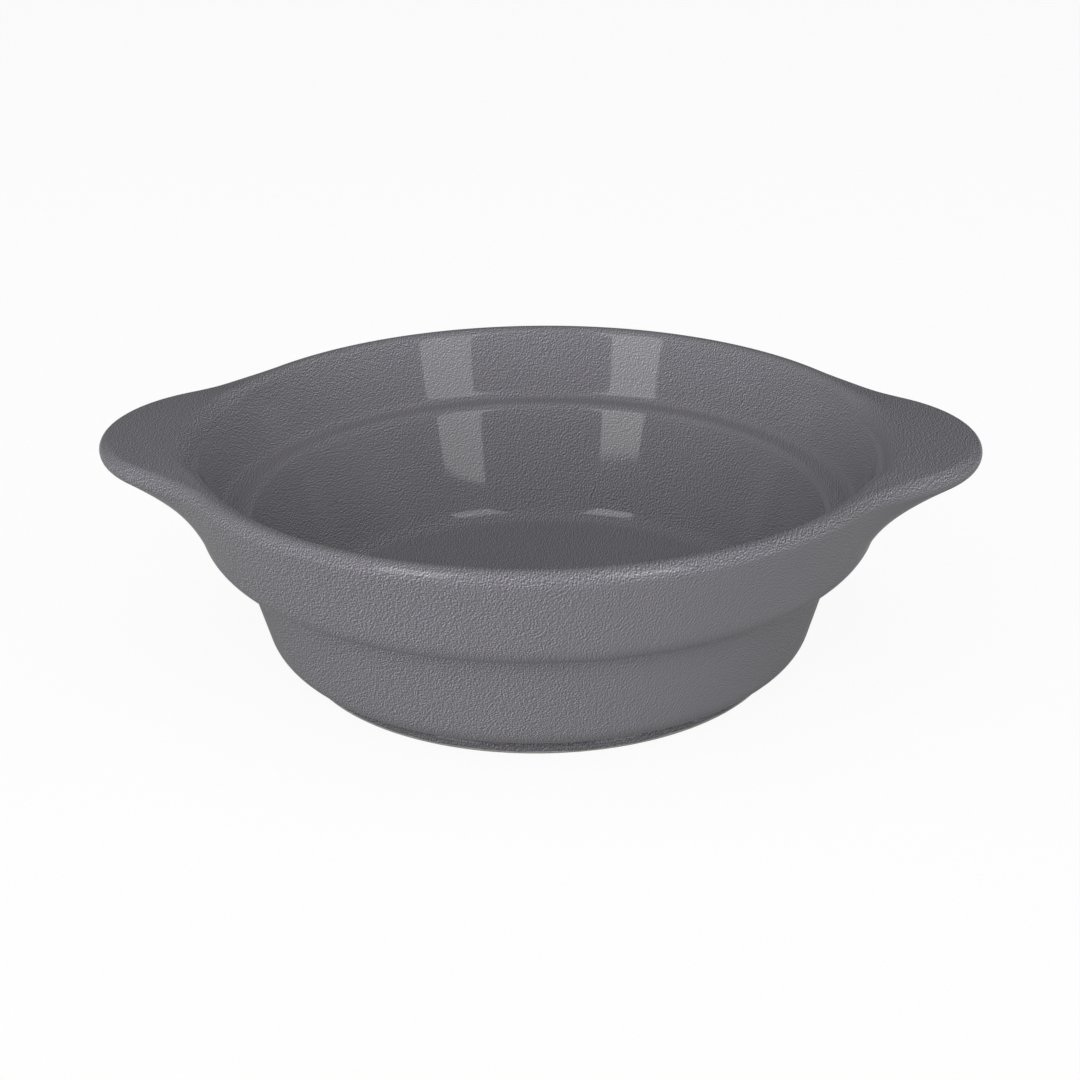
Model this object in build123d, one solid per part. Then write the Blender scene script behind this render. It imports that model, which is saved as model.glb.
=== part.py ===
from build123d import *
from math import acos, atan2, cos, degrees, radians, sin, sqrt, tan
import os

# Round lugged dish in glazed ceramic: a stepped bowl, two lugs luted to its rim and a foot ring.
# Millimetres, +Z up, lugs along X, origin on the table under the middle of the bowl.

# Overall sizes
RIM_DIAMETER = 150.0
HEIGHT = 48.8

# Upper band, from the rim down to the step
WALL = 4.6
BAND_LEAN = 17.0
RIM_LAND = 0.4
STEP_HEIGHT = 26.7
SHOULDER_OVERHANG = 5.9
STEP_FILLET = 0.8
LEDGE_DEPTH = 15.4
LEDGE_FILLET = 2.4
LEDGE_ROUND = 2.0

# Lower bowl, from the step down to the foot
LOWER_WALL = 4.4
LOWER_LEAN = 16.0
WELL_LEAN = 18.3
HEEL_HEIGHT = 5.5
HEEL_ROUND = 7.0
FLOOR_THICKNESS = 5.1
FLOOR_FILLET = 4.0

# Foot ring
FOOT_DIAMETER = 102.6
FOOT_HEIGHT = 2.7
FOOT_WIDTH = 4.5
FOOT_DRAFT = 6.0
FOOT_ROUND = 0.7

# Lugs
LUG_REACH = 16.75
LUG_TIP_RADIUS = 30.0
LUG_BLEND_RADIUS = 76.0
LUG_THICKNESS = 4.6
LUG_DROP = 0.35
LUG_ROOT_DEPTH = 16.6
LUG_FLARE_DEPTH = 12.5
LUG_CREASE = 0.2
LUG_FEATHER = 0.2
LUG_LAP = 0.4
LUG_SECTIONS = 13

# Lines of the bowl's section that the other pieces share
band_slope = tan(radians(BAND_LEAN))
lower_slope = tan(radians(LOWER_LEAN))
rim_radius = RIM_DIAMETER / 2
rim_round = (WALL - RIM_LAND) / 2
rim_corner = rim_radius + rim_round * (tan(radians(45 + BAND_LEAN / 2)) - 1)
band_thickness = WALL / cos(radians(BAND_LEAN))
foot_radius = FOOT_DIAMETER / 2


def band_radius(height):
    """Outside of the upper band at a height, on its straight line."""
    return rim_corner - band_slope * (HEIGHT - height)


shoulder_radius = band_radius(STEP_HEIGHT)
step_radius = shoulder_radius - SHOULDER_OVERHANG


def lower_radius(height):
    """Outside of the lower bowl at a height, on its straight line."""
    return step_radius - lower_slope * (STEP_HEIGHT - height)


def make_bowl_body():
    """Round bowl turned from one section: floor, lower wall, step, band and rolled rim."""
    ledge_height = HEIGHT - LEDGE_DEPTH
    floor_height = FOOT_HEIGHT + FLOOR_THICKNESS
    ledge_radius = lower_radius(ledge_height) - LOWER_WALL / cos(radians(LOWER_LEAN))
    floor_radius = ledge_radius - tan(radians(WELL_LEAN)) * (ledge_height - floor_height)
    step_reach = STEP_FILLET * tan(radians(45 - LOWER_LEAN / 2))
    shoulder_round = (SHOULDER_OVERHANG - step_reach) * tan(radians(45 + BAND_LEAN / 2))
    corners = [
        (0, FOOT_HEIGHT, 0),
        (foot_radius, FOOT_HEIGHT, 0),
        (lower_radius(HEEL_HEIGHT), HEEL_HEIGHT, HEEL_ROUND),
        (step_radius, STEP_HEIGHT, STEP_FILLET),
        (shoulder_radius, STEP_HEIGHT, shoulder_round),
        (rim_corner, HEIGHT, rim_round),
        (rim_corner - band_thickness, HEIGHT, rim_round),
        (band_radius(ledge_height) - band_thickness, ledge_height, LEDGE_FILLET),
        (ledge_radius, ledge_height, LEDGE_ROUND),
        (floor_radius, floor_height, FLOOR_FILLET),
        (0, floor_height, 0),
    ]
    outline = FilletPolyline(
        [(r, z) for r, z, _ in corners], radius=[round_ for _, _, round_ in corners], close=True
    )
    return revolve(Plane.XZ * make_face(outline), Axis.Z)


def make_foot_ring():
    """Low turned ring with a dry flat face, under the bowl's floor."""
    taper = FOOT_HEIGHT * tan(radians(FOOT_DRAFT))
    inner = foot_radius - FOOT_WIDTH
    outline = FilletPolyline(
        (inner, FOOT_HEIGHT),
        (inner + taper, 0),
        (foot_radius - taper, 0),
        (foot_radius, FOOT_HEIGHT),
        radius=[0, FOOT_ROUND, FOOT_ROUND, 0],
        close=True,
    )
    return revolve(Plane.XZ * make_face(outline), Axis.Z)


# Plan of a lug: a tip arc, with a hollow blend arc each side that runs out along the rim
tip_centre = rim_radius + LUG_REACH - LUG_TIP_RADIUS
blend_reach = rim_radius + LUG_FEATHER + LUG_BLEND_RADIUS
tip_to_blend = LUG_TIP_RADIUS + LUG_BLEND_RADIUS
lug_end = acos((blend_reach**2 + tip_centre**2 - tip_to_blend**2) / (2 * blend_reach * tip_centre))
blend_x = blend_reach * cos(lug_end)
blend_y = blend_reach * sin(lug_end)
tip_share = LUG_TIP_RADIUS / tip_to_blend
tip_end = atan2(blend_y * tip_share, tip_centre + (blend_x - tip_centre) * tip_share)


def lug_reach(angle):
    """Distance from the bowl's axis to the lug's outline, at an angle from the lug's middle."""
    turn = abs(angle)
    if turn <= tip_end:
        across = tip_centre * sin(turn)
        return tip_centre * cos(turn) + sqrt(LUG_TIP_RADIUS**2 - across**2)
    along = blend_reach * cos(lug_end - turn)
    across = blend_reach * sin(lug_end - turn)
    return along - sqrt(LUG_BLEND_RADIUS**2 - across**2)


def lug_section(angle):
    """Section of a lug on the plane through the bowl's axis: flat top, round edge, hollow underside."""
    edge_round = LUG_THICKNESS / 2
    reach = lug_reach(angle)
    edge = Vector(reach - edge_round, HEIGHT - LUG_DROP - edge_round)
    root_height = HEIGHT - LUG_ROOT_DEPTH
    flare_height = HEIGHT - LUG_FLARE_DEPTH
    root = Vector(band_radius(root_height) + LUG_FEATHER, root_height)
    flare = Vector(band_radius(flare_height) + LUG_FEATHER, flare_height)
    inside = Vector(band_radius(root_height) - band_thickness / 2, root_height)
    crest = Vector(rim_radius + LUG_FEATHER - edge_round - LUG_LAP, HEIGHT - LUG_CREASE)
    # The underside leaves the round edge along the tangent through the flare point
    to_flare = flare - edge
    turn = atan2(to_flare.Y, to_flare.X) + acos(edge_round / to_flare.length)
    under = degrees(turn) - 360 if turn > 0 else degrees(turn)
    arc = CenterArc(edge, edge_round, under, 90 - under)
    section = make_face(
        [
            arc,
            Line(arc @ 1, crest),
            Line(crest, inside),
            Line(inside, root),
            Bezier(root, flare, arc @ 0),
        ]
    )
    radial = (cos(angle), sin(angle), 0)
    return Plane(origin=(0, 0, 0), x_dir=radial, z_dir=(sin(angle), -cos(angle), 0)) * section


def make_right_lug(bowl):
    """Lug lofted round the rim and scribed to the outside of the bowl."""
    spacing = 2 * lug_end / (LUG_SECTIONS - 1)
    sections = [lug_section(-lug_end + spacing * number) for number in range(LUG_SECTIONS)]
    return loft(sections) - bowl


bowl_body = make_bowl_body()
right_lug = make_right_lug(bowl_body)
pieces = {
    "bowl_body": bowl_body,
    "right_lug": right_lug,
    "left_lug": mirror(right_lug, about=Plane.YZ),
    "foot_ring": make_foot_ring(),
}

os.makedirs("parts", exist_ok=True)
for name, piece in pieces.items():
    export_step(piece, f"parts/{name}.step")
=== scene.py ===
"""Looks of a round lugged dish in grey glaze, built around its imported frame."""

from math import cos, pi, radians, sin, tan
from typing import NamedTuple

import bpy
from bpy.props import FloatProperty, FloatVectorProperty, IntProperty, PointerProperty
from mathutils import Matrix, Vector


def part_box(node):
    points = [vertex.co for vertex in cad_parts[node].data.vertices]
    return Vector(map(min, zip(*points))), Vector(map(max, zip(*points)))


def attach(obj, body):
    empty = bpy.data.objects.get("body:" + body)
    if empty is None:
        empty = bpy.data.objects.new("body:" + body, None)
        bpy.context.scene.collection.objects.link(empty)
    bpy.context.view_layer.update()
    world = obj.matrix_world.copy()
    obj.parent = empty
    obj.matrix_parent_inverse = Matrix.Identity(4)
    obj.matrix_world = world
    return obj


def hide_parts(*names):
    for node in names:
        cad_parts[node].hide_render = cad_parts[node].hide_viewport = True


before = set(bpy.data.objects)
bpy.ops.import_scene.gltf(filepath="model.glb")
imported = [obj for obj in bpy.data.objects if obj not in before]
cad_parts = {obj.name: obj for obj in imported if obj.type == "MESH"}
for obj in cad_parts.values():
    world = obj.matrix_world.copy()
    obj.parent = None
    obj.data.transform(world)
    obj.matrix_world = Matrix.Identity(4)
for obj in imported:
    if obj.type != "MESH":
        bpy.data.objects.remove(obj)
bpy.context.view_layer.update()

bl_info = {
    "name": "Glazed Lugged Dish",
    "version": (1, 0, 0),
    "blender": (4, 5, 0),
    "location": "3D View > Sidebar > Dish",
    "description": "Builds a round lugged dish in grey glaze, its foot ring and a plain studio",
    "category": "Add Mesh",
}

bowl_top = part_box("bowl_body")[1]
lug_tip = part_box("right_lug")[1]
foot_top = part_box("foot_ring")[1]

# Settings


def length(name, description, default):
    """A length in metres."""
    return FloatProperty(
        name=name,
        description=description,
        default=default,
        subtype="DISTANCE",
        unit="LENGTH",
        precision=5,
    )


def angle(name, description, degrees):
    """An angle, given in degrees and kept in radians."""
    return FloatProperty(
        name=name,
        description=description,
        default=radians(degrees),
        subtype="ANGLE",
        unit="ROTATION",
    )


def share(name, description, default):
    """A number from 0 to 1."""
    return FloatProperty(
        name=name, description=description, default=default, subtype="FACTOR", min=0, max=1
    )


def number(name, description, default):
    """A plain number, 0 or more."""
    return FloatProperty(name=name, description=description, default=default, min=0)


def colour(name, description, default):
    """A colour in linear light."""
    return FloatVectorProperty(
        name=name, description=description, default=default, subtype="COLOR", size=3, min=0, max=1
    )


class BowlSizes(bpy.types.PropertyGroup):
    """Sizes of the bowl's section."""

    rim_radius: length("Rim Radius", "Axis to the outside of the rim", bowl_top.x)
    height: length("Height", "Table to the top of the rim", bowl_top.z)
    wall: length("Wall", "Thickness of the upper band", 0.0046)
    band_lean: angle("Band Lean", "Lean of the upper band from upright", 17)
    rim_land: length("Rim Land", "Flat between the two rounds of the rim", 0.0004)
    step_height: length("Step Height", "Table to the step outside", 0.0267)
    shoulder_overhang: length("Shoulder Overhang", "Width of the step outside", 0.0059)
    step_fillet: length("Step Fillet", "Hollow round in the corner of the step", 0.0008)
    ledge_depth: length("Ledge Depth", "Rim down to the ledge inside", 0.0154)
    ledge_fillet: length("Ledge Fillet", "Hollow round at the back of the ledge", 0.0024)
    ledge_round: length("Ledge Round", "Round on the edge of the ledge", 0.002)
    lower_wall: length("Lower Wall", "Thickness of the lower bowl at the ledge", 0.0044)
    lower_lean: angle("Lower Lean", "Lean of the lower bowl from upright, outside", 16)
    well_lean: angle("Well Lean", "Lean of the lower bowl from upright, inside", 18.3)
    heel_height: length("Heel Height", "Table to the corner of the heel", 0.0055)
    heel_round: length("Heel Round", "Round on the heel above the foot", 0.007)
    floor_thickness: length("Floor Thickness", "Thickness of the bowl's floor", 0.0051)
    floor_fillet: length("Floor Fillet", "Hollow round between floor and wall", 0.004)


class LugSizes(bpy.types.PropertyGroup):
    """Sizes of the two lugs."""

    reach: length("Lug Reach", "Rim to the tip of a lug", lug_tip.x - bowl_top.x)
    tip_radius: length("Lug Tip Radius", "Radius of the tip, seen from above", 0.03)
    blend_radius: length("Lug Blend Radius", "Hollow radius from the tip into the rim", 0.076)
    thickness: length("Lug Thickness", "Thickness of the lug's round edge", 0.0046)
    drop: length("Lug Drop", "Tip below the top of the rim", 0.00035)
    inner_round: length("Lug Inner Round", "Round from the top of a lug down into the bowl", 0.0055)
    root_depth: length("Lug Root Depth", "Rim down to where the flare starts", 0.0166)
    flare_depth: length("Lug Flare Depth", "Rim down to the bend of the flare", 0.0125)


class FootSizes(bpy.types.PropertyGroup):
    """Sizes of the foot ring."""

    radius: length("Foot Radius", "Axis to the outside of the foot", foot_top.x)
    height: length("Foot Height", "Table to the bowl's underside", foot_top.z)
    width: length("Foot Width", "Width of the ring at its root", 0.0045)
    draft: angle("Foot Draft", "Taper of each side", 6)
    edge_round: length("Foot Edge Round", "Round on the two lower edges", 0.0007)


class GlazeLook(bpy.types.PropertyGroup):
    """Colours and grain of the glaze and the bare clay."""

    glaze: colour("Glaze", "Grey of the fired glaze", (0.172, 0.17, 0.185))
    # Glaze of the foot's side: the grey glaze darkened as painted shade
    foot_glaze_painted_shade: colour("Foot Glaze", "Darker glaze on the foot", (0.118, 0.116, 0.128))
    clay: colour("Clay", "Bare clay of the resting face", (0.3, 0.285, 0.265))
    roughness: share("Roughness", "Roughness of the glaze", 0.05)
    refraction: number("Refraction", "Refractive index of the glaze", 1.5)
    grain_size: length("Grain Size", "Cell of the fine grain in the glaze", 0.0003)
    grain_depth: length("Grain Depth", "Height of the grain", 0.0000003)
    # Strength of the painted light and shade on the grain's pebbles
    pebble_shade_contrast: number("Grain Contrast", "How far the grain lightens and darkens", 1.0)


class StudioLook(bpy.types.PropertyGroup):
    """Light and camera of the studio."""

    right_softbox: number("Right Softbox", "Brightness of the tall softbox on the right", 1.75)
    left_softbox: number("Left Softbox", "Brightness of the tall softbox on the left", 2.15)
    front: number("Front Panel", "Brightness of the wide panel behind the camera", 2.13)
    low_left: number("Low Left Panel", "Brightness of the panel low at the left", 4.85)
    low_right: number("Low Right Panel", "Brightness of the panel low at the right", 1.45)
    side: number("Side Panels", "Brightness of the panel at each side", 1.6)
    top: number("Top Panel", "Brightness of the panel overhead", 0.78)
    back: number("Back Panel", "Brightness of the low panel behind the dish", 14.0)
    ambient: number("Ambient", "Brightness of the room as a light", 0.01)
    floor: colour("Floor", "Pale floor", (0.36, 0.36, 0.36))
    distance: length("Camera Distance", "Camera to the middle of the dish", 0.46)
    elevation: angle("Camera Elevation", "Camera above the horizon", 22.85)
    turn: angle("Camera Turn", "Camera round the dish, towards the right lug", 3.0)
    roll: angle("Camera Roll", "Tilt of the picture", -0.55)
    lens: number("Lens", "Focal length in millimetres, on a 36 mm sensor", 72.16)


class DishSettings(bpy.types.PropertyGroup):
    """All settings of the dish."""

    bowl: PointerProperty(name="Bowl", description="Sizes of the bowl", type=BowlSizes)
    lugs: PointerProperty(name="Lugs", description="Sizes of the lugs", type=LugSizes)
    foot: PointerProperty(name="Foot", description="Sizes of the foot ring", type=FootSizes)
    look: PointerProperty(name="Look", description="Glaze and clay", type=GlazeLook)
    studio: PointerProperty(name="Studio", description="Light and camera", type=StudioLook)
    turn_steps: IntProperty(
        name="Turn Steps", description="Facets round the dish", default=384, min=24
    )


# Nodes


class Value:
    """A socket of a node tree. Arithmetic on a number adds its Math nodes."""

    def __init__(self, nodes, socket):
        self.nodes = nodes
        self.socket = socket

    def __add__(self, other):
        return self.nodes.math("ADD", self, other)

    def __sub__(self, other):
        return self.nodes.math("SUBTRACT", self, other)

    def __rsub__(self, other):
        return self.nodes.math("SUBTRACT", other, self)

    def __mul__(self, other):
        return self.nodes.math("MULTIPLY", self, other)

    def __truediv__(self, other):
        return self.nodes.math("DIVIDE", self, other)

    def __gt__(self, other):
        return self.nodes.math("GREATER_THAN", self, other)

    def __lt__(self, other):
        return self.nodes.math("LESS_THAN", self, other)

    __radd__ = __add__
    __rmul__ = __mul__


class Nodes:
    """Adds nodes to one tree."""

    def __init__(self, tree):
        self.tree = tree

    def add(self, kind, settings=(), sockets=(), out=0):
        """Adds a node, its settings first and then its sockets, and gives one of its outputs."""
        node = self.tree.nodes.new(kind)
        for name, setting in dict(settings).items():
            setattr(node, name, setting)
        for key, fed in dict(sockets).items():
            if isinstance(fed, Value):
                self.tree.links.new(fed.socket, node.inputs[key])
            else:
                node.inputs[key].default_value = fed
        return Value(self, node.outputs[out]) if node.outputs else None

    def math(self, operation, *values):
        """A Math node on numbers."""
        return self.add("ShaderNodeMath", {"operation": operation}, dict(enumerate(values)))

    def vector_math(self, operation, first, second, out=0):
        """A Vector Math node on two vectors."""
        sockets = {0: first, 1: second}
        return self.add("ShaderNodeVectorMath", {"operation": operation}, sockets, out)

    def scaled(self, vector, factor):
        """A vector or a colour times a number."""
        sockets = {0: vector, "Scale": factor}
        return self.add("ShaderNodeVectorMath", {"operation": "SCALE"}, sockets)

    def split(self, vector):
        """The three numbers of a vector."""
        part = self.add("ShaderNodeSeparateXYZ", sockets={"Vector": vector})
        return [Value(self, output) for output in part.socket.node.outputs]

    def attribute(self, name):
        """A number kept on the points."""
        return self.add("GeometryNodeInputNamedAttribute", {"data_type": "FLOAT"}, {"Name": name})

    def keep(self, geometry, name, number):
        """Geometry with a number kept on its points."""
        sockets = {"Geometry": geometry, "Name": name, "Value": number}
        return self.add("GeometryNodeStoreNamedAttribute", {"data_type": "FLOAT"}, sockets)


# Form: a section with rounded corners, turned about the axis

# Points on a round, the length between cuts, and the cuts across a lug's top and its flare
ROUND_STEPS = 12
CUT_LENGTH = 0.003
DRAWN_CUTS = 18
MERGE_DISTANCE = 1e-6


def form_tree(name, inputs):
    """A tree from a section, a material and named sizes; gives its nodes and its inputs."""
    tree = bpy.data.node_groups.new(name, "GeometryNodeTree")
    kinds = {
        "Section": "NodeSocketGeometry",
        "Turn Steps": "NodeSocketInt",
        "Material": "NodeSocketMaterial",
    }
    kinds.update({size: "NodeSocketFloat" for size in inputs})
    for socket, kind in kinds.items():
        tree.interface.new_socket(socket, in_out="INPUT", socket_type=kind)
    tree.interface.new_socket("Form", in_out="OUTPUT", socket_type="NodeSocketGeometry")
    nodes = Nodes(tree)
    group = nodes.add("NodeGroupInput").socket.node
    return nodes, {socket: Value(nodes, group.outputs[socket]) for socket in kinds}


def add_rounded_section(nodes, section):
    """The section as a curve with rounded corners, cut finely where the lugs are drawn from."""
    curve = nodes.add("GeometryNodeMeshToCurve", sockets={"Mesh": section})
    rounds = {"Curve": curve, "Count": ROUND_STEPS, "Radius": nodes.attribute("section_round")}
    curve = nodes.add("GeometryNodeFilletCurve", {"mode": "POLY"}, rounds)
    place = nodes.add("GeometryNodeInputPosition")
    rim = nodes.attribute("section_rim")
    onward = {"Offset": 1}
    following = nodes.add("GeometryNodeOffsetPointInCurve", sockets=onward, out="Point Index")

    def at_next(kind, field):
        sockets = {"Index": following, "Value": field}
        return nodes.add("GeometryNodeFieldAtIndex", {"data_type": kind}, sockets)

    run = nodes.vector_math("DISTANCE", place, at_next("FLOAT_VECTOR", place), "Value")
    drawn = nodes.math("ABSOLUTE", at_next("FLOAT", rim) - rim)
    cuts = run / CUT_LENGTH + drawn * DRAWN_CUTS
    curve = nodes.add("GeometryNodeSubdivideCurve", sockets={"Curve": curve, "Cuts": cuts})
    radius, height, _ = nodes.split(place)
    return nodes.keep(nodes.keep(curve, "section_radius", radius), "section_height", height)


def add_turned_mesh(nodes, section, steps):
    """The section carried round a circle; radius, height and turn stay on the points."""
    points = {"Resolution": steps}
    circle = nodes.add("GeometryNodeCurvePrimitiveCircle", {"mode": "RADIUS"}, points)
    turn = nodes.add("GeometryNodeInputIndex") * (2 * pi) / steps
    circle = nodes.keep(circle, "section_turn", turn)
    return nodes.add("GeometryNodeCurveToMesh", sockets={"Curve": circle, "Profile Curve": section})


def add_finish(nodes, mesh, radius, height, material):
    """Puts the points in place round the axis, closes the poles and sets the material."""
    turn = nodes.attribute("section_turn")
    x, y = radius * nodes.math("COSINE", turn), radius * nodes.math("SINE", turn)
    place = nodes.add("ShaderNodeCombineXYZ", sockets={"X": x, "Y": y, "Z": height})
    mesh = nodes.add("GeometryNodeSetPosition", sockets={"Geometry": mesh, "Position": place})
    merged = {"Geometry": mesh, "Distance": MERGE_DISTANCE}
    mesh = nodes.add("GeometryNodeMergeByDistance", sockets=merged)
    mesh = nodes.add("GeometryNodeSetShadeSmooth", sockets={"Geometry": mesh})
    removed = {"Geometry": mesh, "Name": "section_*"}
    mesh = nodes.add("GeometryNodeRemoveAttribute", {"pattern_mode": "WILDCARD"}, removed)
    mesh = nodes.add("GeometryNodeRealizeInstances", sockets={"Geometry": mesh})
    mesh = nodes.add("GeometryNodeSetMaterial", sockets={"Geometry": mesh, "Material": material})
    nodes.add("NodeGroupOutput", sockets={"Form": mesh})


def ring_tree():
    """Tree of a plain turned ring."""
    nodes, given = form_tree("turned ring", [])
    section = add_rounded_section(nodes, given["Section"])
    mesh = add_turned_mesh(nodes, section, given["Turn Steps"])
    radius, height = nodes.attribute("section_radius"), nodes.attribute("section_height")
    add_finish(nodes, mesh, radius, height, given["Material"])
    return nodes.tree


LUG_INPUTS = [
    "Rim Radius",
    "Rim Height",
    "Rim Round",
    "Rim Land",
    "Band Lean",
    "Lug Reach",
    "Lug Tip Radius",
    "Lug Blend Radius",
    "Lug Thickness",
    "Lug Drop",
    "Lug Inner Round",
    "Root Radius",
    "Root Height",
    "Flare Radius",
    "Flare Height",
]
# Shares of a lug's reach at which its edge and its inner round are full
LUG_SETTLE = 0.3
INNER_SETTLE = 0.7
# How far below the inner round the points of the wall slide, and where on the rim the inside starts
INNER_DEPTH = 0.012
INSIDE = 0.9999


def add_lug_outline(nodes, given):
    """How far a lug stands past the rim at each turn: a tip arc, and a hollow arc to the rim."""
    sine, cosine, root = "SINE", "COSINE", "SQRT"
    rim, tip, blend = given["Rim Radius"], given["Lug Tip Radius"], given["Lug Blend Radius"]
    turn = nodes.attribute("section_turn")
    aside = nodes.math("ABSOLUTE", nodes.math(sine, turn))
    along = nodes.math("ABSOLUTE", nodes.math(cosine, turn))
    turn = nodes.math("ARCTAN2", aside, along)
    tip_centre = rim + given["Lug Reach"] - tip
    blend_reach = rim + blend
    tip_to_blend = tip + blend
    gap = blend_reach * blend_reach + tip_centre * tip_centre - tip_to_blend * tip_to_blend
    lug_end = nodes.math("ARCCOSINE", gap / (blend_reach * tip_centre * 2))
    meet = tip / tip_to_blend
    meet_x = tip_centre + (blend_reach * nodes.math(cosine, lug_end) - tip_centre) * meet
    tip_end = nodes.math("ARCTAN2", blend_reach * nodes.math(sine, lug_end) * meet, meet_x)
    across = tip_centre * aside
    tip_line = tip_centre * along + nodes.math(root, tip * tip - across * across)
    across = blend_reach * nodes.math(sine, lug_end - turn)
    hollow = nodes.math(root, blend * blend - across * across)
    blend_line = blend_reach * nodes.math(cosine, lug_end - turn) - hollow
    in_tip, in_lug = turn < tip_end, turn < lug_end
    return in_tip * (tip_line - rim) + (in_lug - in_tip) * (blend_line - rim)


def add_growth(nodes, given, out, settle):
    """Grows smoothly from 0 at the plain rim to 1 where a lug has a share of its reach."""
    growth = {"Value": out, "From Max": given["Lug Reach"] * settle}
    return nodes.add("ShaderNodeMapRange", {"interpolation_type": "SMOOTHSTEP"}, growth)


def add_inner_round(nodes, given, out, crest, radius, level):
    """Inner end of a lug's top, and the points inside, with a wider round at the lugs."""
    height, plain, lean = given["Rim Height"], given["Rim Round"], given["Band Lean"]
    wide = plain + add_growth(nodes, given, out, INNER_SETTLE) * (given["Lug Inner Round"] - plain)
    along = nodes.math("TANGENT", pi / 4 - lean / 2)
    gain = (wide - plain) * along
    sine, cosine = nodes.math("SINE", lean), nodes.math("COSINE", lean)
    turn = nodes.math("ARCTAN2", level - (height - plain), radius - crest)
    arc_radius = crest + gain + wide * nodes.math("COSINE", turn)
    arc_level = height - wide + wide * nodes.math("SINE", turn)
    # Below the round the wall's points slide down along the wall, less and less
    depth = (height - level) / cosine - plain * along
    slide = gain * nodes.math("MAXIMUM", 1 - depth / INNER_DEPTH, 0)
    in_arc = depth < 0
    wall_radius, wall_level = radius - slide * sine, level - slide * cosine
    new_radius = wall_radius + in_arc * (arc_radius - wall_radius)
    return crest + gain, new_radius, wall_level + in_arc * (arc_level - wall_level)


def add_lug_section(nodes, given, out):
    """Radius and height of the points, the rim drawn out to a lug: top, round edge and flare."""
    rim, height, rim_round = given["Rim Radius"], given["Rim Height"], given["Rim Round"]
    radius, level = nodes.attribute("section_radius"), nodes.attribute("section_height")
    line = nodes.attribute("section_rim")
    grown = add_growth(nodes, given, out, LUG_SETTLE)
    edge = rim_round + grown * (given["Lug Thickness"] / 2 - rim_round)
    edge_radius = rim + out - edge
    edge_top = height - grown * given["Lug Drop"]
    edge_height = edge_top - edge
    # The underside leaves the round edge along the tangent through the flare point
    flare_out, flare_up = given["Flare Radius"] - edge_radius, given["Flare Height"] - edge_height
    flare_length = nodes.math("SQRT", flare_out * flare_out + flare_up * flare_up)
    tangent = nodes.math("ARCCOSINE", edge / flare_length)
    under = nodes.math("ARCTAN2", flare_up, flare_out) + tangent
    plain = nodes.math("ARCTAN2", level - (height - rim_round), radius - (rim - rim_round))
    lean = given["Band Lean"]
    around = under + (plain + lean) / (lean + pi / 2) * (pi / 2 - under)
    # From root to edge the flare is a curve of three points
    before = nodes.math("MAXIMUM", 0 - line, 0)
    after = 1 - before
    bend = before * after * 2

    def drawn(trig, middle, root, flare, crest, top):
        arc = middle + edge * nodes.math(trig, around)
        start = middle + edge * nodes.math(trig, under)
        hollow = before * before * root + bend * flare + after * after * start
        flat = top + line * (crest - top)
        return (line > 0) * flat + (line < 0) * hollow + (1 - (line > 0) - (line < 0)) * arc

    crest = rim - rim_round - given["Rim Land"]
    crest, inner_radius, inner_level = add_inner_round(nodes, given, out, crest, radius, level)
    root, flare = given["Root Radius"], given["Flare Radius"]
    new_radius = drawn("COSINE", edge_radius, root, flare, crest, edge_radius)
    root, flare = given["Root Height"], given["Flare Height"]
    new_level = drawn("SINE", edge_height, root, flare, height, edge_top)
    free, inside = nodes.math("ABSOLUTE", line) < 1, line > INSIDE
    new_radius = radius + free * (new_radius - radius) + inside * (inner_radius - radius)
    return new_radius, level + free * (new_level - level) + inside * (inner_level - level)


def dish_tree():
    """Tree of the dish: a turned bowl with two lugs drawn from its rim."""
    nodes, given = form_tree("lugged dish", LUG_INPUTS)
    section = add_rounded_section(nodes, given["Section"])
    mesh = add_turned_mesh(nodes, section, given["Turn Steps"])
    out = add_lug_outline(nodes, given)
    radius, height = add_lug_section(nodes, given, out)
    add_finish(nodes, mesh, radius, height, given["Material"])
    return nodes.tree


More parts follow.
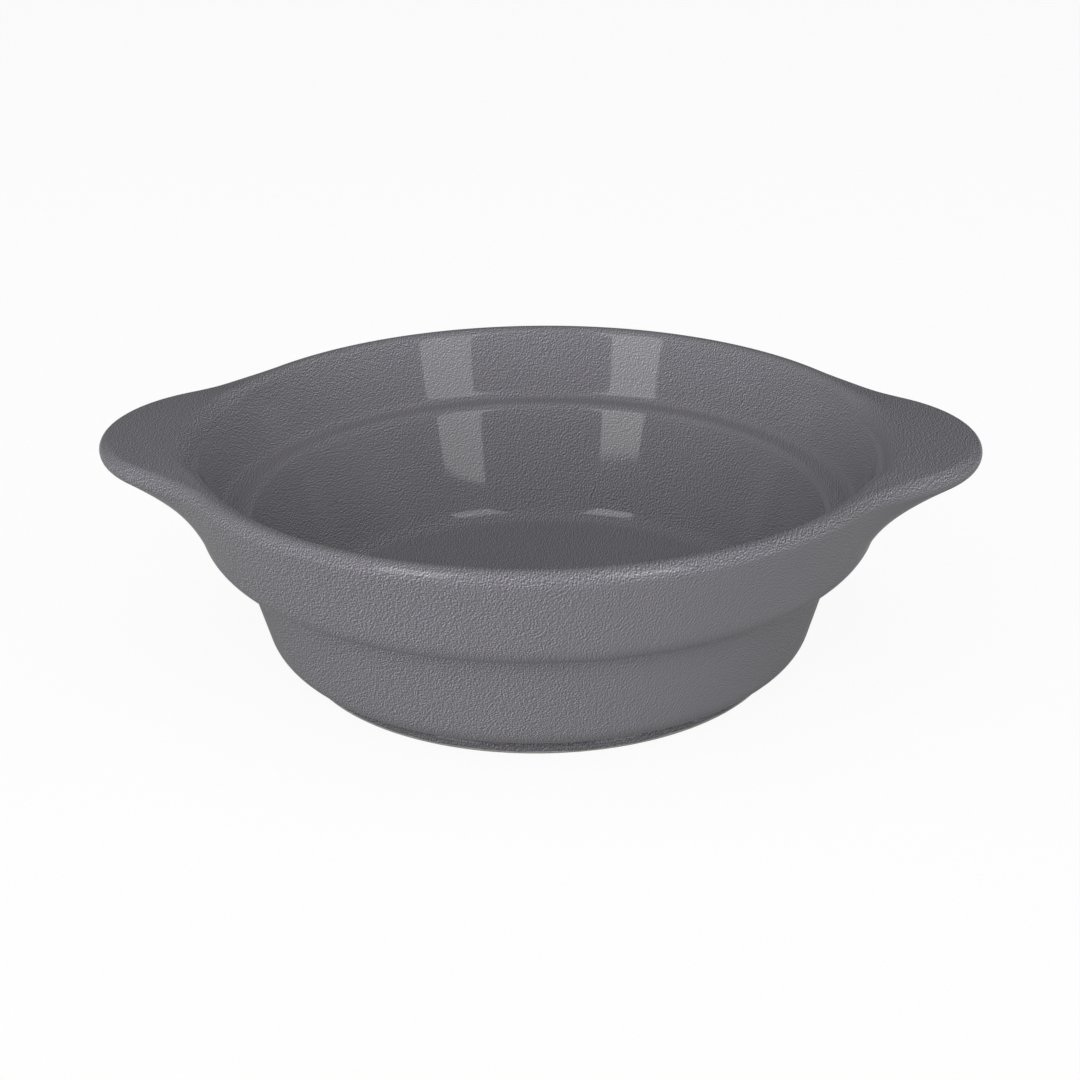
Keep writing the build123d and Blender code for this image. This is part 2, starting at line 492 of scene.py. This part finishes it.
class BowlLines:
    """Lines of the bowl's section, worked out from its sizes."""

    def __init__(self, bowl):
        lean = bowl.band_lean
        self.bowl = bowl
        self.rim_round = (bowl.wall - bowl.rim_land) / 2
        self.rim_corner = bowl.rim_radius + self.rim_round * (tan(pi / 4 + lean / 2) - 1)
        self.band_across = bowl.wall / cos(lean)
        self.shoulder = self.band_radius(bowl.step_height)
        self.step = self.shoulder - bowl.shoulder_overhang
        step_reach = bowl.step_fillet * tan(pi / 4 - bowl.lower_lean / 2)
        self.shoulder_round = (bowl.shoulder_overhang - step_reach) * tan(pi / 4 + lean / 2)

    def band_radius(self, height):
        """Outside of the upper band at a height."""
        return self.rim_corner - tan(self.bowl.band_lean) * (self.bowl.height - height)

    def lower_radius(self, height):
        """Outside of the lower bowl at a height."""
        return self.step - tan(self.bowl.lower_lean) * (self.bowl.step_height - height)

    def corners(self, foot, root):
        """Corners from the middle of the floor, over the rim, to the middle underneath.

        Each has its radius, height, round and place on the rim: 1 inside, 0 on the edge that the
        lugs are drawn from, and -1 from the root of the lugs down.
        """
        bowl = self.bowl
        ledge = bowl.height - bowl.ledge_depth
        floor = foot.height + bowl.floor_thickness
        ledge_radius = self.lower_radius(ledge) - bowl.lower_wall / cos(bowl.lower_lean)
        floor_radius = ledge_radius - tan(bowl.well_lean) * (ledge - floor)
        return [
            (0, floor, 0, 1),
            (floor_radius, floor, bowl.floor_fillet, 1),
            (ledge_radius, ledge, bowl.ledge_round, 1),
            (self.band_radius(ledge) - self.band_across, ledge, bowl.ledge_fillet, 1),
            (self.rim_corner - self.band_across, bowl.height, self.rim_round, 1),
            (self.rim_corner, bowl.height, self.rim_round, 0),
            (self.band_radius(root), root, 0, -1),
            (self.shoulder, bowl.step_height, self.shoulder_round, -1),
            (self.step, bowl.step_height, bowl.step_fillet, -1),
            (self.lower_radius(bowl.heel_height), bowl.heel_height, bowl.heel_round, -1),
            (foot.radius, foot.height, 0, -1),
            (0, foot.height, 0, -1),
        ]


def make_form(name, corners, tree, inputs, closed):
    """A piece formed by a tree from its section, as a plain mesh at the origin."""
    section = bpy.data.meshes.new(name)
    edges = [(number, number + 1) for number in range(len(corners) - 1)]
    if closed:
        edges.append((len(corners) - 1, 0))
    section.from_pydata([(radius, height, 0) for radius, height, _, _ in corners], edges, [])
    _, _, rounds, rims = zip(*corners)
    for kept, values in (("section_round", rounds), ("section_rim", rims)):
        section.attributes.new(kept, "FLOAT", "POINT").data.foreach_set("value", values)
    piece = bpy.data.objects.new(name, section)
    bpy.context.scene.collection.objects.link(piece)
    modifier = piece.modifiers.new(name, "NODES")
    modifier.node_group = tree
    for item in tree.interface.items_tree:
        if item.name in inputs:
            modifier[item.identifier] = inputs[item.name]
    depsgraph = bpy.context.evaluated_depsgraph_get()
    formed = bpy.data.meshes.new_from_object(piece.evaluated_get(depsgraph))
    piece.modifiers.remove(modifier)
    piece.data = formed
    bpy.data.meshes.remove(section)
    return piece


# Materials


def new_material(name):
    """An empty node material."""
    material = bpy.data.materials.new(name)
    material.use_nodes = True
    material.node_tree.nodes.clear()
    return material, Nodes(material.node_tree)


# Turn of all the noise, in radians; way to the lit side of the pebbles' painted light and shade, in
# cells; their stretch
NOISE_TURN = (0.5, 0.7, 0.3)
PAINTED_LIGHT_SHIFT = (0.55, -0.35, -0.5)
PEBBLE_STRETCH = 1.25


def add_noise(nodes, size, detail, shift=(0, 0, 0), stretch=1):
    """Noise from -1 to 1 over the object, in cells of a size, longer front to back by a stretch.

    The cells are turned so that no face lies along them, and the noise can be read a shift away.
    """
    place = nodes.vector_math("ADD", nodes.add("ShaderNodeTexCoord", out="Object"), shift)
    turned = {"Vector": place, "Rotation": NOISE_TURN, "Scale": (1, 1 / stretch, 1)}
    place = nodes.add("ShaderNodeMapping", sockets=turned)
    sockets = {"Vector": place, "Scale": 1 / size, "Detail": detail}
    return nodes.add("ShaderNodeTexNoise", sockets=sockets) * 2 - 1


def add_pebbles_and_painted_shade(nodes, size):
    """Fine pebbles: their height, and their painted light and shade, lit on one side and dark on the
    other along the surface.
    """
    normal = nodes.add("ShaderNodeNewGeometry", out="Normal")
    across = nodes.vector_math("PROJECT", PAINTED_LIGHT_SHIFT, normal)
    shift = nodes.scaled(nodes.vector_math("SUBTRACT", PAINTED_LIGHT_SHIFT, across), size)
    height = add_noise(nodes, size, detail=0, stretch=PEBBLE_STRETCH)
    return height, height - add_noise(nodes, size, detail=0, shift=shift, stretch=PEBBLE_STRETCH)


MOTTLE_SIZE = 0.012
MOTTLE_CONTRAST = 0.03
MOTTLE_ROUGHNESS = 0.03


def add_glaze(nodes, look, tone):
    """Colour, roughness and bump of the glaze in a tone: a slow mottle under the painted light and
    shade of a fine pebbled grain.
    """
    grain, sides = add_pebbles_and_painted_shade(nodes, look.grain_size)
    mottle = add_noise(nodes, MOTTLE_SIZE, detail=2)
    # The pebbles' painted light and shade and a random mottle lighten and darken the tone
    level = nodes.math("EXPONENT", sides * look.pebble_shade_contrast + mottle * MOTTLE_CONTRAST)
    grey = nodes.scaled(tone, level)
    gloss = look.roughness + mottle * MOTTLE_ROUGHNESS
    bumps = {"Height": grain, "Distance": look.grain_depth}
    return grey, gloss, nodes.add("ShaderNodeBump", sockets=bumps)


def glaze_material(look):
    """Grey glaze with a fine grain, its pebbles carrying painted light and shade."""
    material, nodes = new_material("grey glaze")
    grey, gloss, bump = add_glaze(nodes, look, look.glaze)
    surface = {"Base Color": grey, "Roughness": gloss, "IOR": look.refraction, "Normal": bump}
    shader = nodes.add("ShaderNodeBsdfPrincipled", sockets=surface)
    nodes.add("ShaderNodeOutputMaterial", sockets={"Surface": shader})
    return material


CLAY_ROUGHNESS = 0.85
CLAY_SPECK_SIZE = 0.0008
CLAY_SPECK_CONTRAST = 0.25
# Height where the glaze stops, how far that line wavers, and the length of its waves
GLAZE_LINE = 0.0007
GLAZE_LINE_WAVER = 0.0003
GLAZE_LINE_WAVES = 0.009
# Sockets of a Mix node for colours
MIX_FACTOR, MIX_FIRST, MIX_SECOND, MIX_RESULT = 0, 6, 7, 2


def foot_material(look):
    """Glaze on the sides of the foot, darkened there as painted shade, wiped back to bare clay where it
    stands.
    """
    material, nodes = new_material("foot glaze and dry clay")
    # The foot's glaze tone is darker as painted shade
    grey, gloss, bump = add_glaze(nodes, look, look.foot_glaze_painted_shade)
    speck = add_noise(nodes, CLAY_SPECK_SIZE, detail=3)
    clay = nodes.scaled(look.clay, nodes.math("EXPONENT", speck * CLAY_SPECK_CONTRAST))
    _, _, height = nodes.split(nodes.add("ShaderNodeTexCoord", out="Object"))
    waver = add_noise(nodes, GLAZE_LINE_WAVES, detail=1) * GLAZE_LINE_WAVER
    glazed = (height + waver) > GLAZE_LINE
    tones = {MIX_FACTOR: glazed, MIX_FIRST: clay, MIX_SECOND: grey}
    tone = nodes.add("ShaderNodeMix", {"data_type": "RGBA"}, tones, MIX_RESULT)
    roughness = CLAY_ROUGHNESS + glazed * (gloss - CLAY_ROUGHNESS)
    surface = {"Base Color": tone, "Roughness": roughness, "IOR": look.refraction, "Normal": bump}
    shader = nodes.add("ShaderNodeBsdfPrincipled", sockets=surface)
    nodes.add("ShaderNodeOutputMaterial", sockets={"Surface": shader})
    return material


# Studio

FLOOR_REACH = 60.0
# Share of the floor's white that no shadow dims, and brightness of the white room
FLOOR_WHITE = 0.92
ROOM_WHITE = 1.0
# How much of the white each kind of ray sees
WHITE_RAYS = {"Is Camera Ray": 1.0, "Is Transmission Ray": 1.0, "Is Glossy Ray": 0.05}
WHITE = (1, 1, 1, 1)
# The camera turns about a point over the table, and is then moved aside and up
AIM_HEIGHT = 0.025
AIM_ASIDE = 0.000261
AIM_UP = -0.000952
SENSOR_WIDTH = 36.0


class Light(NamedTuple):
    """A flat light that faces the dish, shown in the gloss or not.

    Its place and roll are in degrees: azimuth 0 is in front, and 90 is beyond the right lug. The
    setting gives its brightness.
    """

    name: str
    setting: str
    azimuth: float
    elevation: float
    distance: float
    width: float
    height: float
    roll: float = 0.0
    shown: bool = False


LIGHTS = (
    Light(
        "right softbox",
        "right_softbox",
        azimuth=37.8,
        elevation=37.4,
        distance=1.0,
        width=0.34,
        height=0.8,
        roll=-0.5,
        shown=True,
    ),
    Light(
        "left softbox",
        "left_softbox",
        azimuth=-37.1,
        elevation=38.5,
        distance=0.8,
        width=0.264,
        height=0.64,
        roll=6.3,
        shown=True,
    ),
    Light("front panel", "front", azimuth=0, elevation=25, distance=2.0, width=2.4, height=1.6),
    Light("low left panel", "low_left", azimuth=-25, elevation=3, distance=2.0, width=1.6, height=0.6),
    Light("low right panel", "low_right", azimuth=25, elevation=3, distance=2.0, width=1.6, height=0.6),
    Light("right panel", "side", azimuth=95, elevation=17, distance=1.5, width=1.5, height=1.0),
    Light("left panel", "side", azimuth=-95, elevation=17, distance=1.5, width=1.5, height=1.0),
    Light("top panel", "top", azimuth=0, elevation=88, distance=1.5, width=1.5, height=1.5),
    Light("back panel", "back", azimuth=180, elevation=1, distance=2.0, width=2.4, height=0.3),
)


def add_white_share(nodes):
    """How far a ray sees a white backdrop: fully from the camera, and a little in the gloss."""
    seen = 0
    for ray, lift in WHITE_RAYS.items():
        seen = nodes.math("MAXIMUM", seen, nodes.add("ShaderNodeLightPath", out=ray) * lift)
    return seen


def floor_material(studio):
    """Pale floor that a camera sees as white, with the shadow of the dish on it."""
    material, nodes = new_material("pale floor")
    pale = nodes.add("ShaderNodeBsdfDiffuse", sockets={"Color": (*studio.floor, 1)})
    lit = nodes.add("ShaderNodeBsdfDiffuse", sockets={"Color": WHITE})
    bright = nodes.add("ShaderNodeEmission", sockets={"Color": WHITE})
    white = nodes.add("ShaderNodeMixShader", sockets={0: FLOOR_WHITE, 1: lit, 2: bright})
    seen = add_white_share(nodes)
    shader = nodes.add("ShaderNodeMixShader", sockets={0: seen, 1: pale, 2: white})
    nodes.add("ShaderNodeOutputMaterial", sockets={"Surface": shader})
    return material


def make_floor(studio):
    """Wide floor that the dish stands on."""
    mesh = bpy.data.meshes.new("floor")
    corners = [(-1, -1), (1, -1), (1, 1), (-1, 1)]
    places = [(x * FLOOR_REACH, y * FLOOR_REACH, 0) for x, y in corners]
    mesh.from_pydata(places, [], [(0, 1, 2, 3)])
    mesh.materials.append(floor_material(studio))
    floor = bpy.data.objects.new("floor", mesh)
    bpy.context.scene.collection.objects.link(floor)


def make_light(light, brightness):
    """Hangs a light in its place, turned to the dish."""
    lamp = bpy.data.lights.new(light.name, "AREA")
    lamp.shape = "RECTANGLE"
    lamp.size = light.width
    lamp.size_y = light.height
    lamp.energy = brightness * pi * light.width * light.height
    side, up = radians(light.azimuth), radians(light.elevation)
    towards = Vector((sin(side) * cos(up), -cos(side) * cos(up), sin(up)))
    place = Matrix.Translation(towards * light.distance)
    facing = towards.to_track_quat("Z", "Y").to_matrix().to_4x4()
    panel = bpy.data.objects.new(light.name, lamp)
    panel.matrix_world = place @ facing @ Matrix.Rotation(radians(light.roll), 4, "Z")
    panel.visible_glossy = light.shown
    bpy.context.scene.collection.objects.link(panel)


def make_room(studio):
    """Room that is white to a camera and gives hardly any light."""
    world = bpy.data.worlds.new("studio room")
    world.use_nodes = True
    world.node_tree.nodes.clear()
    nodes = Nodes(world.node_tree)
    strength = studio.ambient + add_white_share(nodes) * (ROOM_WHITE - studio.ambient)
    room = nodes.add("ShaderNodeBackground", sockets={"Color": WHITE, "Strength": strength})
    nodes.add("ShaderNodeOutputWorld", sockets={"Surface": room})
    bpy.context.scene.world = world


def make_camera(studio):
    """Camera in front of the dish, a little round towards its right lug."""
    lens = bpy.data.cameras.new("camera")
    lens.lens = studio.lens
    lens.sensor_width = SENSOR_WIDTH
    camera = bpy.data.objects.new("camera", lens)
    bpy.context.scene.collection.objects.link(camera)
    camera.matrix_world = (
        Matrix.Translation((0, 0, AIM_HEIGHT))
        @ Matrix.Rotation(studio.turn, 4, "Z")
        @ Matrix.Rotation(pi / 2 - studio.elevation, 4, "X")
        @ Matrix.Translation((AIM_ASIDE, AIM_UP, studio.distance))
        @ Matrix.Rotation(studio.roll, 4, "Z")
    )
    bpy.context.scene.camera = camera


# Operators


class DISH_OT_glazed_bowl(bpy.types.Operator):
    """Build the glazed bowl and its two lugs as one unbroken surface"""

    bl_idname = "dish.glazed_bowl"
    bl_label = "Glazed Bowl"

    def execute(self, context):
        settings = context.scene.lugged_dish
        bowl, lugs = settings.bowl, settings.lugs
        lines = BowlLines(bowl)
        root, flare = bowl.height - lugs.root_depth, bowl.height - lugs.flare_depth
        inputs = {
            "Turn Steps": settings.turn_steps,
            "Material": glaze_material(settings.look),
            "Rim Radius": bowl.rim_radius,
            "Rim Height": bowl.height,
            "Rim Round": lines.rim_round,
            "Rim Land": bowl.rim_land,
            "Band Lean": bowl.band_lean,
            "Lug Reach": lugs.reach,
            "Lug Tip Radius": lugs.tip_radius,
            "Lug Blend Radius": lugs.blend_radius,
            "Lug Thickness": lugs.thickness,
            "Lug Drop": lugs.drop,
            "Lug Inner Round": lugs.inner_round,
            "Root Radius": lines.band_radius(root),
            "Root Height": root,
            "Flare Radius": lines.band_radius(flare),
            "Flare Height": flare,
        }
        corners = lines.corners(settings.foot, root)
        piece = make_form("glazed_bowl", corners, dish_tree(), inputs, closed=False)
        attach(piece, "root")
        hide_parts("bowl_body", "left_lug", "right_lug")
        return {"FINISHED"}


class DISH_OT_foot(bpy.types.Operator):
    """Build the foot ring, glazed on its sides and dry where it stands"""

    bl_idname = "dish.foot"
    bl_label = "Foot Ring"

    def execute(self, context):
        settings = context.scene.lugged_dish
        foot = settings.foot
        taper = foot.height * tan(foot.draft)
        inner = foot.radius - foot.width
        corners = [
            (foot.radius, foot.height, 0, 1),
            (foot.radius - taper, 0, foot.edge_round, 1),
            (inner + taper, 0, foot.edge_round, 1),
            (inner, foot.height, 0, 1),
        ]
        inputs = {"Turn Steps": settings.turn_steps, "Material": foot_material(settings.look)}
        piece = make_form("foot", corners, ring_tree(), inputs, closed=True)
        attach(piece, "root")
        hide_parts("foot_ring")
        return {"FINISHED"}


class DISH_OT_studio(bpy.types.Operator):
    """Set up the floor, the lights, the room and the camera"""

    bl_idname = "dish.studio"
    bl_label = "Studio"

    def execute(self, context):
        studio = context.scene.lugged_dish.studio
        make_floor(studio)
        for light in LIGHTS:
            make_light(light, getattr(studio, light.setting))
        make_room(studio)
        make_camera(studio)
        context.scene.view_settings.view_transform = "Standard"
        return {"FINISHED"}


class DISH_PT_dish(bpy.types.Panel):
    """Lists the pieces of the dish"""

    bl_idname = "DISH_PT_dish"
    bl_label = "Lugged Dish"
    bl_space_type = "VIEW_3D"
    bl_region_type = "UI"
    bl_category = "Dish"

    def draw(self, context):
        for operator in OPERATORS:
            self.layout.operator(operator.bl_idname)


OPERATORS = (DISH_OT_glazed_bowl, DISH_OT_foot, DISH_OT_studio)
GROUPS = (BowlSizes, LugSizes, FootSizes, GlazeLook, StudioLook, DishSettings)


def register():
    """Registers the classes and the dish's settings."""
    for added in (*GROUPS, *OPERATORS, DISH_PT_dish):
        bpy.utils.register_class(added)
    bpy.types.Scene.lugged_dish = PointerProperty(type=DishSettings)


def unregister():
    """Removes the settings and the classes."""
    del bpy.types.Scene.lugged_dish
    for added in reversed((*GROUPS, *OPERATORS, DISH_PT_dish)):
        bpy.utils.unregister_class(added)


def main():
    """Builds the dish and its studio."""
    register()
    bpy.ops.dish.glazed_bowl()
    bpy.ops.dish.foot()
    bpy.ops.dish.studio()


if __name__ == "__main__":
    main()
